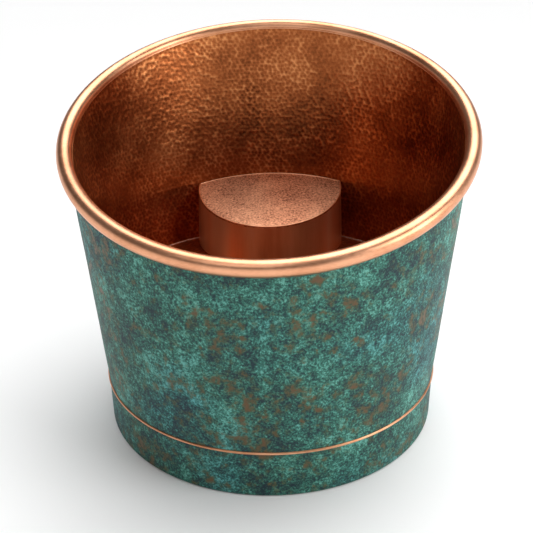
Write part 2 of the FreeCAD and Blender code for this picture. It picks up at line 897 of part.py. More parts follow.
def make_stator():
    """A laminated U round the magnet's well, with its coil wound on the bridge behind."""
    play = size("running_fit")
    inner, outer = size("core_inner") + play, core_outer - play
    front, back = -size("core_front") - play, bridge_back
    bridge_front = back + size("core_leg")
    core = pump_body("stator_core")
    pad_across(core, "XZ_Plane", [
        (-outer, back), (outer, back), (outer, front), (inner, front), (inner, bridge_front),
        (-inner, bridge_front), (-inner, front), (-outer, front),
    ], 2 * (core_half - play))
    piece("stator_core", core)

    coil = pump_body("stator_coil")
    build = size("coil_build")
    half = size("coil_width") / 2
    pad_across(coil, "YZ_Plane", [
        (-core_half - build, back - build), (core_half + build, back - build),
        (core_half + build, bridge_front + build), (-core_half - build, bridge_front + build),
    ], 2 * half)
    cut_across(coil, [(-core_half, back - play), (core_half, back - play),
                      (core_half, bridge_front + play), (-core_half, bridge_front + play)])
    return piece("stator_coil", coil)


def make_motor_cover():
    """The plate that closes the coil's cavity, with a hole for the cable gland."""
    body = pump_body("motor_cover")
    pad(body, casing_block, motor_back - size("motor_cover"), size("motor_cover"))
    pocket(body, lambda s: draw_circle(s, size("grommet_radius")), motor_back, 2 * size("motor_cover"))
    return piece("motor_cover", body)


def make_pump_gland():
    """The cable's inlet: a stub through the motor cover and a tapered sleeve behind it."""
    body = pump_body("pump_gland")
    behind = motor_back - size("motor_cover")
    stub = size("grommet_radius") - size("running_fit")
    sleeve = behind - size("gland_sleeve")
    revolve(body, [
        (size("lead_radius"), motor_back), (stub, motor_back), (stub, behind),
        (size("grommet_flange"), behind), (stub, sleeve), (size("lead_radius"), sleeve),
    ])
    return piece("pump_gland", body)


def make_volute_cover():
    """The impeller's chamber, with intake holes round the front bush and an outlet on top."""
    body = pump_body("volute_cover")
    pad(body, casing_block, 0.0, size("volute_length"))
    pocket(body, lambda s: draw_circle(s, size("volute_radius")), size("volute_depth"),
           size("volute_depth"))
    pocket(body, lambda s: draw_circle(s, size("bush_radius")), bearing_end, size("bush_length"))
    pocket(body, lambda s: ring_of_circles(s, size("volute_hole"), size("volute_hole_circle"), HOLE_COUNT),
           size("volute_length"), size("volute_length") - size("volute_depth"))
    revolve(body, [
        (size("seal_radius") - seal_groove, 0), (size("seal_radius") + seal_groove, 0),
        (size("seal_radius") + seal_groove, 2 * seal_groove),
        (size("seal_radius") - seal_groove, 2 * seal_groove),
    ], cut=True)
    outlet = new_sketch(body, "XZ_Plane", 2 * sheet_metal - size("volute_radius"))
    draw_circle(outlet, outlet_bore, 0.0, outlet_front)
    bore = body.newObject("PartDesign::Pocket", "outlet_bore")
    bore.Profile = outlet
    bind(bore, "Length", size("pump_height"))
    return piece("volute_cover", body)


def make_cover_seal():
    body = pump_body("cover_seal")
    sketch = new_sketch(body, "XZ_Plane")
    draw_circle(sketch, size("seal_section"), size("seal_radius"),
                size("seal_section") + size("running_fit"))
    revolve_sketch(body, sketch)
    return piece("cover_seal", body)


def make_outlet_elbow():
    """A bent tube pushed into the volute's outlet, turning the water towards the back."""
    body = pump_body("outlet_elbow")
    bend = size("elbow_bend")
    foot = half_height - size("elbow_rise") / 2
    corner = half_height + size("elbow_rise")
    spine = new_sketch(body, "YZ_Plane")
    draw_path(spine, [(foot, outlet_front), (corner, outlet_front), (elbow_height, outlet_front - bend),
                      (elbow_height, elbow_tip)], {
        1: ((corner, outlet_front - bend), bend, 90, 0),
    })
    section = new_sketch(body, "XZ_Plane", -foot)
    draw_circle(section, size("spigot_radius"), 0.0, outlet_front)
    draw_circle(section, size("spigot_bore"), 0.0, outlet_front)
    pipe = body.newObject("PartDesign::AdditivePipe", "elbow_pipe")
    pipe.Profile = section
    pipe.Spine = (spine, [])
    return piece("outlet_elbow", body)


def make_intake_cover():
    """The hollow front cap with its ring of holes and the headed pin that carries the dial."""
    body = pump_body("intake_cover")
    start, wall = size("volute_length"), size("intake_wall")
    pad(body, casing_block, start, size("intake_length"))
    pocket(body, lambda s: draw_rectangle(s, wall - half_width, half_width - wall,
                                          wall - half_height, half_height - wall),
           intake_front - wall, size("intake_length") - wall)
    pocket(body, lambda s: ring_of_circles(s, size("intake_hole"), size("intake_circle"), HOLE_COUNT),
           intake_front, wall)
    pin_end = intake_front + 2 * size("dial_gap") + size("dial_sheet")
    pad(body, lambda s: draw_circle(s, size("dial_pin")), intake_front, pin_end - intake_front)
    pad(body, lambda s: draw_circle(s, size("dial_pin_head")), pin_end, size("dial_pin_cap"))
    return piece("intake_cover", body)


def make_flow_dial():
    """A pierced disc that turns over the intake holes to throttle the pump, with a finger tab."""
    body = pump_body("flow_dial")
    start = intake_front + size("dial_gap")
    half = size("dial_tab_width") / 2
    pad(body, lambda s: draw_circle(s, size("dial_radius")), start, size("dial_sheet"))
    pad(body, lambda s: draw_rectangle(s, -half, half, size("intake_circle"), size("dial_tab_reach")),
        start, size("dial_sheet"))

    def holes(sketch):
        ring_of_circles(sketch, size("intake_hole"), size("intake_circle"), HOLE_COUNT)
        draw_circle(sketch, size("dial_pin") + size("running_fit"))

    pocket(body, holes, start + size("dial_sheet"), 2 * size("dial_sheet"))
    return piece("flow_dial", body)


def make_shaft_and_bushes():
    """The still ceramic shaft and the two rubber bushes that hold its ends."""
    radius = size("shaft_radius")
    shaft = pump_body("rotor_shaft")
    revolve(shaft, [(0, bush_end), (radius, bush_end), (radius, bearing_end), (0, bearing_end)])
    piece("rotor_shaft", shaft)
    for name, low, high in (("front_bush", size("volute_depth"), bearing_end),
                            ("rear_bush", bush_end, well_end)):
        bush = pump_body(name)
        revolve(bush, [(radius, low), (size("bush_radius"), low), (size("bush_radius"), high),
                       (radius, high)])
        piece(name, bush)


def make_rotor():
    """The magnet in its well and the bladed impeller in the volute, which spin together."""
    bore = size("shaft_radius") + size("running_fit")
    back, front = well_end + size("end_play"), -size("blade_sheet")
    reach = size("well_radius") - size("magnet_gap")
    magnet = pump_body("rotor_magnet")
    revolve(magnet, [(bore, back), (reach, back), (reach, front), (bore, front)])
    piece("rotor_magnet", magnet)

    impeller = pump_body("impeller")
    tip = size("volute_depth") - size("end_play")
    hub = size("hub_radius")
    disc = size("end_play") + size("blade_sheet")
    revolve(impeller, [
        (bore, front), (hub, front), (hub, size("end_play")), (size("blade_reach"), size("end_play")),
        (size("blade_reach"), disc), (hub, disc), (hub, tip), (bore, tip),
    ])
    half = size("blade_sheet") / 2
    blade = pad(impeller, lambda s: draw_rectangle(s, hub - half, size("blade_reach"), -half, half),
                disc, tip - disc - size("end_play"))
    polar(impeller, blade, BLADE_COUNT)
    return piece("impeller", impeller)


def make_suction_cup(number, aside, along):
    """A rubber foot under the pump, its stud pressed into the casing."""
    at = (chamber_at[0] + aside, size("pump_face") - along, floor_top)
    body = new_body(f"suction_cup_{number}", at)
    height, stud = size("cup_height"), size("cup_stud")
    lip = size("cup_lip")
    revolve(body, [
        (0, 2 * lip), (size("cup_radius"), 0), (size("cup_radius"), lip), (2 * stud, height),
        (stud, height), (stud, height + size("cup_stud_length")), (0, height + size("cup_stud_length")),
    ])
    return piece(f"suction_cup_{number}", body)


def make_grommet(name, at, turn, groove_low, groove_high):
    """A rubber ring with a groove for the sheet that it sits in, and a bore for the cable."""
    body = new_body(name, at, turn)
    flange, waist = size("grommet_flange"), size("grommet_radius") - size("running_fit")
    lip = size("grommet_lip")
    revolve(body, [
        (size("lead_radius"), groove_low - lip), (flange, groove_low - lip), (flange, groove_low),
        (waist, groove_low), (waist, groove_high), (flange, groove_high),
        (flange, groove_high + lip), (size("lead_radius"), groove_high + lip),
    ])
    return piece(name, body)


make_pump_body()
make_stator()
make_motor_cover()
make_pump_gland()
make_volute_cover()
make_cover_seal()
make_outlet_elbow()
make_intake_cover()
make_flow_dial()
make_shaft_and_bushes()
make_rotor()
cup_places = [(aside, along) for along in (size("cup_front"), size("cup_rear"))
              for aside in (-size("cup_aside"), size("cup_aside"))]
for cup_number, (cup_aside, cup_along) in enumerate(cup_places, start=1):
    make_suction_cup(cup_number, cup_aside, cup_along)
make_grommet("floor_grommet", (chamber_at[0] + size("grommet_aside"), size("grommet_back"), 0.0), None,
             floor_top - sheet_metal, floor_top)
# The band is curved, so the groove is wider than the sheet by how far the flange falls off it.
fall = size("grommet_flange") * size("grommet_flange") / base_radius
make_grommet("wall_grommet", (0.0, 0.0, size("cable_height")), ((1, 0, 0), -90),
             base_radius - sheet_metal - fall, base_radius + size("solder"))

# ---------------------------------------------------------------- checks and export


def check_document():
    """Stop before anything is written if an object failed or a piece has no sound shape."""
    doc.recompute()
    for obj in doc.Objects:
        if {"Invalid", "Error"} & set(obj.State):
            raise RuntimeError(f"{obj.Label} failed: {obj.State}")
    for obj in pieces:
        if obj.Shape.isNull() or not obj.Shape.isValid() or not obj.Shape.Solids:
            raise RuntimeError(f"{obj.Label} has no sound shape")


check_document()
os.makedirs("parts", exist_ok=True)
for obj in pieces:
    obj.Shape.exportStep(f"parts/{obj.Label}.step")
    print(f"{obj.Label:18s} solids {len(obj.Shape.Solids)}  volume {obj.Shape.Volume:12.1f} mm3")
print(len(pieces), "nodes")
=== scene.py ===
import json
import math
import bmesh
import bpy
import numpy as np
from mathutils import Matrix, Vector


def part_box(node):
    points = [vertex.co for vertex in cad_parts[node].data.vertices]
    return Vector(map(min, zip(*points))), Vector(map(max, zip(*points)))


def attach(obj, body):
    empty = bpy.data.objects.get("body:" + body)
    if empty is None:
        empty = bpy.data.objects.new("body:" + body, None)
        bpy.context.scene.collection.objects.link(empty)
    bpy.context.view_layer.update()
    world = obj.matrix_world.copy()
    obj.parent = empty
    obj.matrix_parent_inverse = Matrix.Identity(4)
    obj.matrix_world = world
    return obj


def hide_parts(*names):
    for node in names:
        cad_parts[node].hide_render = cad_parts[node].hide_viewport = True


# A copper tabletop fountain: a double-walled vessel with a patinated outside, a hammered basin, a
# slanted rolled rim and a pump chamber with a sloping lid. Lengths are in metres, +Z is up and +Y
# points to the high back of the rim.

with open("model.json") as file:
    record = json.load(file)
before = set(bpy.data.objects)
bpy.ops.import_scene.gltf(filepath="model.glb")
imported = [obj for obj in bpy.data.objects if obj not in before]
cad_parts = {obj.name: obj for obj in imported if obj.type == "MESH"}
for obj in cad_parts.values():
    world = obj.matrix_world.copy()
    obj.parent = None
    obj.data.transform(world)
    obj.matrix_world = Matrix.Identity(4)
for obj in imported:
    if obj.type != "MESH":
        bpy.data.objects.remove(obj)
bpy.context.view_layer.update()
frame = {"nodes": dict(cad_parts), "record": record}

# ---------------------------------------------------------------- sizes

MM = 0.001
BAND_LOW, BAND_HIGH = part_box("base_band")
BASE_RADIUS = BAND_HIGH.x
BAND_HEIGHT = BAND_HIGH.z
FLOOR_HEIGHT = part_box("basin_floor")[1].z
SKIRT_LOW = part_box("basin_floor")[0].z
TAPER = math.tan(math.radians(4.0))
RIM_HEIGHT = 302.2 * MM
RIM_SLOPE = math.tan(math.radians(18.95))
SHEET = 1.2 * MM
WALL_GAP = 5.8 * MM
ROLL_RADIUS = 7.4 * MM
CHAMBER_X, CHAMBER_Y = -7.4 * MM, 148.0 * MM
CHAMBER_FOOT_RADIUS = 88.0 * MM
CHAMBER_LEAN = math.tan(math.radians(2.0))
SLOT_WIDTH, SLOT_PITCH, SLOT_HEIGHT = 9.0 * MM, 17.0 * MM, 7.0 * MM
LID_HEIGHT = 197.7 * MM
LID_SLOPE = math.tan(math.radians(12.6))
LID_SHEET = 2.0 * MM
LID_GAP = 2.0 * MM
LID_DROP = LID_SHEET * math.sqrt(1 + LID_SLOPE ** 2)
CABLE_HOLE = 10.0 * MM
FULL_TURN = 2 * math.pi
BACK = math.pi / 2


def outer_radius(height):
    """Outer face of the tapered outer wall."""
    return BASE_RADIUS + TAPER * (height - BAND_HEIGHT)


def basin_radius(height):
    """Inner face of the basin wall."""
    return outer_radius(height) - WALL_GAP


def chamber_radius(height):
    """Outer face of the leaning chamber wall, about the chamber's own axis."""
    return CHAMBER_FOOT_RADIUS - CHAMBER_LEAN * (height - FLOOR_HEIGHT)


def lid_plane(y):
    """Height of the lid's top face."""
    return LID_HEIGHT - LID_SLOPE * (BASE_RADIUS - y)


def rim_meets(bearing, offset):
    """Height at which a wall, offset outwards from the outer face, reaches the rim's slanted plane."""
    rise = RIM_SLOPE * np.sin(bearing)
    foot = BASE_RADIUS + offset - TAPER * BAND_HEIGHT
    return (RIM_HEIGHT + rise * foot) / (1 - rise * TAPER)


def around(bearing, radius, height):
    """Points at bearings, radii and heights about the vessel's axis."""
    bearing, radius, height = np.broadcast_arrays(bearing, radius, height)
    return np.stack([radius * np.cos(bearing), radius * np.sin(bearing), height], axis=-1)


# ---------------------------------------------------------------- meshes

CREASE = math.radians(38.0)


def new_piece(name, points, faces, body="root", slot=None, ridge=None):
    """A smooth closed mesh that rides on a body. ridge is 1 on its hammer ridges and 0 in the marks."""
    mesh = bpy.data.meshes.new(name)
    mesh.from_pydata([tuple(p) for p in points], [], faces)
    if ridge is not None:
        mesh.attributes.new("ridge", "FLOAT", "POINT").data.foreach_set("value", ridge)
    build = bmesh.new()
    build.from_mesh(mesh)
    bmesh.ops.remove_doubles(build, verts=build.verts, dist=0.002 * MM)
    bmesh.ops.recalc_face_normals(build, faces=build.faces)
    build.to_mesh(mesh)
    build.free()
    smooth(mesh)
    obj = bpy.data.objects.new(name, mesh)
    bpy.context.scene.collection.objects.link(obj)
    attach(obj, body)
    return obj


def smooth(mesh):
    mesh.polygons.foreach_set("use_smooth", [True] * len(mesh.polygons))
    mesh.set_sharp_from_angle(angle=CREASE)


def strip(low, high, closed):
    """Quads between two equal rows of vertex numbers."""
    count = len(low)
    last = count if closed else count - 1
    return [(low[i], low[(i + 1) % count], high[(i + 1) % count], high[i]) for i in range(last)]


def plate(name, face, back, closed, marks=None, **where):
    """A closed plate between a face and a back, each a grid of rows by columns of points.

    A closed plate runs right round the vessel, and its back may then have fewer rows. marks are the
    hammer marks of the face.
    """
    columns = face.shape[1]
    if marks is not None:
        where["ridge"] = np.concatenate([marks.ravel(), np.zeros(back.shape[0] * columns)])
    points = np.concatenate([face.reshape(-1, 3), back.reshape(-1, 3)])
    face_rows = [list(range(r * columns, (r + 1) * columns)) for r in range(face.shape[0])]
    first = face.shape[0] * columns
    back_rows = [list(range(first + r * columns, first + (r + 1) * columns))
                 for r in range(back.shape[0])]
    faces = []
    for rows in (face_rows, back_rows):
        for low, high in zip(rows, rows[1:]):
            faces += strip(low, high, closed)
    faces += strip(back_rows[0], face_rows[0], closed)
    faces += strip(face_rows[-1], back_rows[-1], closed)
    if not closed:
        for end in (0, -1):
            faces += strip([row[end] for row in face_rows], [row[end] for row in back_rows], False)
    return new_piece(name, points, faces, **where)


def wire(name, path, radius, closed, sides=10, **where):
    """A round wire along a path of points."""
    path = np.asarray(path)
    ahead = np.roll(path, -1, axis=0) - np.roll(path, 1, axis=0)
    if not closed:
        ahead[0], ahead[-1] = path[1] - path[0], path[-1] - path[-2]
    ahead /= np.linalg.norm(ahead, axis=1, keepdims=True)
    side = np.cross(ahead, (0.0, 0.0, 1.0))
    flat = np.linalg.norm(side, axis=1) < 0.2
    side[flat] = np.cross(ahead[flat], (0.0, 1.0, 0.0))
    side /= np.linalg.norm(side, axis=1, keepdims=True)
    up = np.cross(side, ahead)
    turn = np.arange(sides)[:, None, None] * FULL_TURN / sides
    rings = path + radius * (np.cos(turn) * side + np.sin(turn) * up)
    count = len(path)
    rows = [list(range(r * count, (r + 1) * count)) for r in range(sides)]
    faces = []
    for low, high in zip(rows, rows[1:] + rows[:1]):
        faces += strip(low, high, closed)
    if not closed:
        faces += [[row[0] for row in rows], [row[-1] for row in rows]]
    return new_piece(name, rings.reshape(-1, 3), faces, **where)


def drill(obj, cutters):
    """Cut closed shapes, each a mesh object, out of a piece."""
    for cutter in cutters:
        cut = obj.modifiers.new("cut", "BOOLEAN")
        cut.operation = "DIFFERENCE"
        cut.solver = "EXACT"
        cut.object = cutter
    view = bpy.context.evaluated_depsgraph_get()
    mesh = bpy.data.meshes.new_from_object(obj.evaluated_get(view))
    obj.modifiers.clear()
    obj.data = mesh
    smooth(mesh)
    for cutter in cutters:
        bpy.data.objects.remove(cutter)


def cutter(shape, place, size, turn=0.0):
    """A box or a lying or upright cylinder for drill(), not part of the object."""
    build = bmesh.new()
    if shape == "box":
        bmesh.ops.create_cube(build, size=1.0)
    else:
        bmesh.ops.create_cone(build, cap_ends=True, segments=48, radius1=0.5, radius2=0.5, depth=1.0)
    bmesh.ops.scale(build, verts=build.verts, vec=size)
    bmesh.ops.rotate(build, verts=build.verts, matrix=Matrix.Rotation(turn, 3, "X"))
    bmesh.ops.translate(build, verts=build.verts, vec=place)
    mesh = bpy.data.meshes.new("cutter")
    build.to_mesh(mesh)
    build.free()
    obj = bpy.data.objects.new("cutter", mesh)
    bpy.context.scene.collection.objects.link(obj)
    return obj


ROW_STEP = 0.87


def hammer_marks(across, along, seed, columns=None):
    """Height over the bottoms of overlapping round hammer marks, from 0 to about 1 on the ridges.

    across and along are in marks. Where the sheet closes on itself, columns marks go round it.
    """
    random = np.random.default_rng(seed)
    rows = int(np.max(along) / ROW_STEP) + 4
    count = columns or int(np.max(across)) + 4
    drift = random.uniform(-0.3, 0.3, (rows, count, 2))
    reach = random.uniform(0.85, 1.1, (rows, count))
    row = np.floor(along / ROW_STEP).astype(int)
    height = np.full(np.shape(across), 9.0)
    for row_step in (-1, 0, 1):
        mark_row = row + row_step
        shift = 0.5 * (mark_row % 2)
        column = np.floor(across - shift).astype(int)
        for column_step in (-1, 0, 1):
            mark_column = column + column_step
            spot = (mark_row % rows, mark_column % count)
            dx = across - (mark_column + 0.5 + shift + drift[spot][..., 0])
            dy = along - ROW_STEP * (mark_row + 0.5 + drift[spot][..., 1])
            height = np.minimum(height, (dx * dx + dy * dy) / (0.36 * reach[spot]))
    return np.minimum(height, 1.2)


def fade(amount, start, end):
    """0 before start, 1 after end, and smooth between."""
    share = np.clip((amount - start) / (end - start), 0.0, 1.0)
    return share * share * (3 - 2 * share)


# ---------------------------------------------------------------- shader building


class Value:
    """A shader socket in an expression. Each operator adds the Math node that works it out."""

    def __init__(self, finish, socket):
        self.finish = finish
        self.socket = socket

    def maths(self, operation, *numbers):
        return self.finish.node("ShaderNodeMath", {"operation": operation}, dict(enumerate(numbers)))

    def __add__(self, other):
        return self.maths("ADD", self, other)

    def __radd__(self, other):
        return self.maths("ADD", other, self)

    def __sub__(self, other):
        return self.maths("SUBTRACT", self, other)

    def __rsub__(self, other):
        return self.maths("SUBTRACT", other, self)

    def __mul__(self, other):
        return self.maths("MULTIPLY", self, other)

    def __rmul__(self, other):
        return self.maths("MULTIPLY", other, self)


class Nodes:
    """Nodes added to a material's or the world's tree."""

    def __init__(self, tree):
        self.tree = tree

    def node(self, kind, settings, inputs, output=0):
        """Add a node: its settings first, then the values or links of its sockets."""
        node = self.tree.nodes.new(kind)
        for key, setting in settings.items():
            if key == "stops":
                while len(node.color_ramp.elements) < len(setting):
                    node.color_ramp.elements.new(1.0)
                for stop, (place, colour) in zip(node.color_ramp.elements, setting):
                    stop.position = place
                    stop.color = (*colour, 1.0)
            else:
                setattr(node, key, setting)
        for key, amount in inputs.items():
            self.feed(node.inputs[key], amount)
        return Value(self, node.outputs[output])

    def feed(self, socket, amount):
        if isinstance(amount, Value):
            self.tree.links.new(amount.socket, socket)
        elif socket.type == "RGBA" and len(amount) == 3:
            socket.default_value = (*amount, 1.0)
        else:
            socket.default_value = amount

    def spread(self, value, low, high, to_low=0.0, to_high=1.0):
        """Map a range to another, with soft ends."""
        return self.node("ShaderNodeMapRange", {"interpolation_type": "SMOOTHSTEP"}, {
            "Value": value, "From Min": low, "From Max": high, "To Min": to_low, "To Max": to_high,
        })

    def upright(self, place):
        """The Z part of a place."""
        return self.node("ShaderNodeSeparateXYZ", {}, {0: place}, "Z")


class Finish(Nodes):
    """A material, built node by node around its Principled shader."""

    def __init__(self, name, **constants):
        self.material = bpy.data.materials.new(name)
        self.material.use_nodes = True
        super().__init__(self.material.node_tree)
        self.shader = self.tree.nodes["Principled BSDF"]
        for socket, amount in constants.items():
            self.set(socket.replace("_", " "), amount)
        self.place = self.node("ShaderNodeTexCoord", {}, {}, "Object")

    def set(self, socket, amount):
        self.feed(self.shader.inputs[socket], amount)

    def stretched(self, across, along, up):
        """The place in the object's frame, scaled along each axis."""
        return self.node("ShaderNodeVectorMath", {"operation": "MULTIPLY"},
                         {0: self.place, 1: (across, along, up)})

    def noise(self, scale, detail=2.0, roughness=0.5, place=None, lift=0.0):
        """Cloudy noise from 0 to 1, at a number of features to the metre."""
        return self.node("ShaderNodeTexNoise", {"noise_dimensions": "4D"}, {
            "Vector": place or self.place, "Scale": scale, "Detail": detail, "Roughness": roughness,
            "W": lift,
        })

    def ridge(self):
        """1 on the ridges between the hammer marks and 0 in their bottoms."""
        return self.node("ShaderNodeAttribute", {"attribute_name": "ridge"}, {}, "Fac")

    def height(self):
        """Height above the table."""
        return self.upright(self.place)

    def ramp(self, value, stops):
        return self.node("ShaderNodeValToRGB", {"stops": stops}, {"Fac": value}, "Color")

    def mix(self, share, first, second, blend="MIX"):
        """One colour over another by a share."""
        return self.node("ShaderNodeMix", {"data_type": "RGBA", "blend_type": blend},
                         {"Factor": share, 6: first, 7: second}, 2)

    def bump(self, height, distance, strength=1.0):
        self.set("Normal", self.node("ShaderNodeBump", {}, {
            "Height": height, "Distance": distance, "Strength": strength,
        }))


# ---------------------------------------------------------------- finishes

DEEP_TEAL = (0.003, 0.022, 0.030)
SEA_GREEN = (0.010, 0.075, 0.058)
TEAL = (0.030, 0.165, 0.122)
PALE_TEAL = (0.130, 0.400, 0.330)
OLIVE = (0.060, 0.070, 0.020)
RUST = (0.115, 0.050, 0.014)


def verdigris_finish():
    """Blue-green patina in soft patches with a fine grain, and brown spots where it is thin."""
    finish = Finish("verdigris", Metallic=0.0, Roughness=0.62, Specular_IOR_Level=0.4)
    cloud = finish.noise(13.0, detail=3.0, roughness=0.55)
    patch = finish.noise(38.0, detail=4.0, roughness=0.6, lift=3.1)
    mottle = finish.noise(105.0, detail=3.0, roughness=0.6, lift=5.2)
    grain = finish.noise(460.0, detail=3.0, roughness=0.7, lift=7.7)
    tone = cloud * 0.8 + patch * 0.9 + mottle * 1.1 + grain * 2.2 - 2.00
    green = finish.ramp(tone, [(0.20, DEEP_TEAL), (0.42, SEA_GREEN), (0.62, TEAL), (0.92, PALE_TEAL)])
    bluish = finish.spread(finish.noise(9.0, detail=2.0, lift=20.0), 0.42, 0.66)
    green = finish.mix(bluish * 0.6, green, (0.55, 0.85, 1.25), "MULTIPLY")
    thin = finish.noise(115.0, detail=3.0, roughness=0.62, lift=12.4)
    thin_area = finish.noise(24.0, detail=2.0, lift=15.0)
    thinness = thin * 0.8 + thin_area * 0.45 + grain * 0.3
    olive = finish.spread(thinness, 0.77, 0.93)
    rust = finish.spread(thinness, 0.84, 1.00)
    colour = finish.mix(olive * 0.75, green, OLIVE)
    colour = finish.mix(rust * 0.9, colour, RUST)
    finish.set("Base Color", colour)
    finish.set("Roughness", 0.66 - rust * 0.2 - grain * 0.15)
    finish.bump(grain * 0.6 + patch * 0.6 + rust * -0.3, 0.5 * MM, 0.6)
    return finish.material


BRIGHT_COPPER = (0.79, 0.39, 0.225)
WARM_COPPER = (0.52, 0.20, 0.09)


def polished_finish():
    """Satin copper with faint darker clouds and fine rubbing marks."""
    finish = Finish("polished_copper", Metallic=1.0, Roughness=0.3)
    cloud = finish.noise(22.0, detail=3.0)
    rub = finish.noise(1.0, detail=3.0, place=finish.stretched(260.0, 260.0, 900.0))
    finish.set("Base Color", finish.ramp(cloud * 0.8 + rub * 0.3, [
        (0.32, WARM_COPPER), (0.62, BRIGHT_COPPER)]))
    finish.set("Roughness", 0.24 + rub * 0.14 + cloud * 0.08)
    finish.bump(rub, 0.05 * MM, 0.4)
    return finish.material


def hammered_finish():
    """Red-brown oxidised copper, brighter on the ridges between the hammer marks."""
    finish = Finish("hammered_copper", Metallic=1.0, Roughness=0.32)
    cloud = finish.noise(13.0, detail=4.0, roughness=0.6)
    speck = finish.noise(300.0, detail=3.0, roughness=0.65, lift=4.0)
    ridge = finish.ridge()
    clear = finish.spread(finish.noise(26.0, detail=2.0, lift=9.0), 0.3, 0.7, 0.25, 1.0)
    tone = cloud * 0.75 + speck * 0.42 + ridge * clear * 0.38 - 0.22
    finish.set("Base Color", finish.ramp(tone, [
        (0.20, (0.085, 0.020, 0.007)), (0.46, (0.40, 0.118, 0.036)), (0.80, (0.80, 0.33, 0.12))]))
    finish.set("Roughness", 0.22 + cloud * 0.12 + speck * 0.12)
    finish.bump(speck, 0.2 * MM, 0.5)
    return finish.material


def lid_finish():
    """Pinkish copper with fine dark specks, darker towards the high back edge."""
    finish = Finish("speckled_copper", Metallic=0.85, Roughness=0.42)
    cloud = finish.noise(28.0, detail=3.0)
    speck = finish.noise(430.0, detail=2.0, roughness=0.7, lift=2.0)
    # Darker towards the high back edge: a small step in tone by height.
    back_share = finish.spread(finish.height(), 0.186, 0.196)
    tone = cloud * 0.5 + (speck - 0.5) * 1.25 + 0.36 - back_share * 0.03
    finish.set("Base Color", finish.ramp(tone, [
        (0.36, (0.18, 0.058, 0.028)), (0.56, (0.62, 0.27, 0.150)), (0.80, (0.88, 0.48, 0.29))]))
    finish.set("Roughness", 0.34 + speck * 0.2)
    finish.bump(speck, 0.2 * MM, 0.6)
    return finish.material


def smooth_finish():
    """Smooth copper sheet with broad upright bands of painted reflection and a fine upright grain."""
    finish = Finish("smooth_copper", Metallic=0.82, Roughness=0.25)
    # Painted reflection: broad upright bands of lighter and darker copper stand in for the soft
    # reflections on the curved front.
    painted_reflection_band = finish.noise(1.0, detail=2.0, roughness=0.5, place=finish.stretched(38.0, 38.0, 3.0))
    fine = finish.noise(1.0, detail=2.0, place=finish.stretched(700.0, 700.0, 60.0), lift=5.0)
    tone = painted_reflection_band * 0.9 + fine * 0.12
    finish.set("Base Color", finish.ramp(tone, [
        (0.32, (0.66, 0.29, 0.135)), (0.55, (0.90, 0.48, 0.26)), (0.75, (0.97, 0.64, 0.42))]))
    finish.set("Roughness", 0.28 + fine * 0.10 + painted_reflection_band * 0.08)
    finish.bump(fine, 0.03 * MM, 0.3)
    return finish.material


def solder_finish():
    """A pale, slightly dull run of solder."""
    finish = Finish("solder_line", Metallic=1.0, Roughness=0.4)
    lump = finish.noise(260.0, detail=2.0)
    finish.set("Base Color", finish.ramp(lump, [
        (0.35, (0.42, 0.26, 0.20)), (0.65, (0.74, 0.52, 0.42))]))
    finish.set("Roughness", 0.34 + lump * 0.2)
    finish.bump(lump, 0.2 * MM, 0.6)
    return finish.material


def moulded_finish(name, colour, roughness):
    """Moulded plastic or rubber: faint mottling and the fine texture of the mould."""
    finish = Finish(name, Metallic=0.0, Roughness=roughness)
    mottle = finish.noise(90.0, detail=3.0)
    texture = finish.noise(1400.0, detail=2.0, lift=3.0)
    darker = tuple(0.72 * part for part in colour)
    finish.set("Base Color", finish.mix(mottle, darker, colour))
    finish.set("Roughness", roughness - 0.08 + texture * 0.16)
    finish.bump(texture, 0.08 * MM, 0.5)
    return finish.material


def metal_finish(name, colour, roughness):
    """Plain metal, wire or ferrite with fine lines."""
    finish = Finish(name, Metallic=1.0, Roughness=roughness)
    line = finish.noise(1.0, detail=3.0, place=finish.stretched(1800.0, 1800.0, 240.0))
    darker = tuple(0.6 * part for part in colour)
    finish.set("Base Color", finish.mix(line, darker, colour))
    finish.set("Roughness", roughness - 0.06 + line * 0.16)
    finish.bump(line, 0.04 * MM, 0.5)
    return finish.material


finishes = {
    "verdigris_copper": verdigris_finish(),
    "polished_copper": polished_finish(),
    "hammered_copper": hammered_finish(),
    "smooth_copper": smooth_finish(),
    "rubber": moulded_finish("rubber", (0.030, 0.030, 0.031), 0.62),
    "steel": metal_finish("steel", (0.60, 0.60, 0.61), 0.32),
    "black_plastic": moulded_finish("black_plastic", (0.034, 0.036, 0.040), 0.42),
    "dial_plastic": moulded_finish("dial_plastic", (0.16, 0.17, 0.18), 0.4),
    "impeller_plastic": moulded_finish("impeller_plastic", (0.62, 0.63, 0.60), 0.36),
    "clear_hose": moulded_finish("clear_hose", (0.62, 0.68, 0.64), 0.22),
    "ferrite": moulded_finish("ferrite", (0.055, 0.055, 0.060), 0.5),
    "ceramic": moulded_finish("ceramic", (0.78, 0.77, 0.74), 0.2),
    "coil_wire": metal_finish("coil_wire", (0.62, 0.26, 0.09), 0.3),
}
lid_copper = lid_finish()
solder = solder_finish()


def paint(obj, material):
    obj.data.materials.clear()
    obj.data.materials.append(material)


# ---------------------------------------------------------------- the vessel's skins

COLUMNS = 360
BAND_LIP = 0.4 * MM
DRILL = (CABLE_HOLE, CABLE_HOLE, 20 * MM)


def bearings(count=COLUMNS):
    return np.arange(count) * FULL_TURN / count


def waves(bearing, height, size, seed):
    """Slow hand-made unevenness of a sheet, up to about its size."""
    random = np.random.default_rng(seed)
    total = np.zeros(np.broadcast(bearing, height).shape)
    for lobes, pitch in ((3, 0.31), (5, 0.17), (8, 0.11), (13, 0.07)):
        start = random.uniform(0.0, FULL_TURN, 2)
        swell = np.sin(height / pitch * FULL_TURN + start[1])
        total = total + np.sin(lobes * bearing + start[0]) * swell
    return size * total / 4


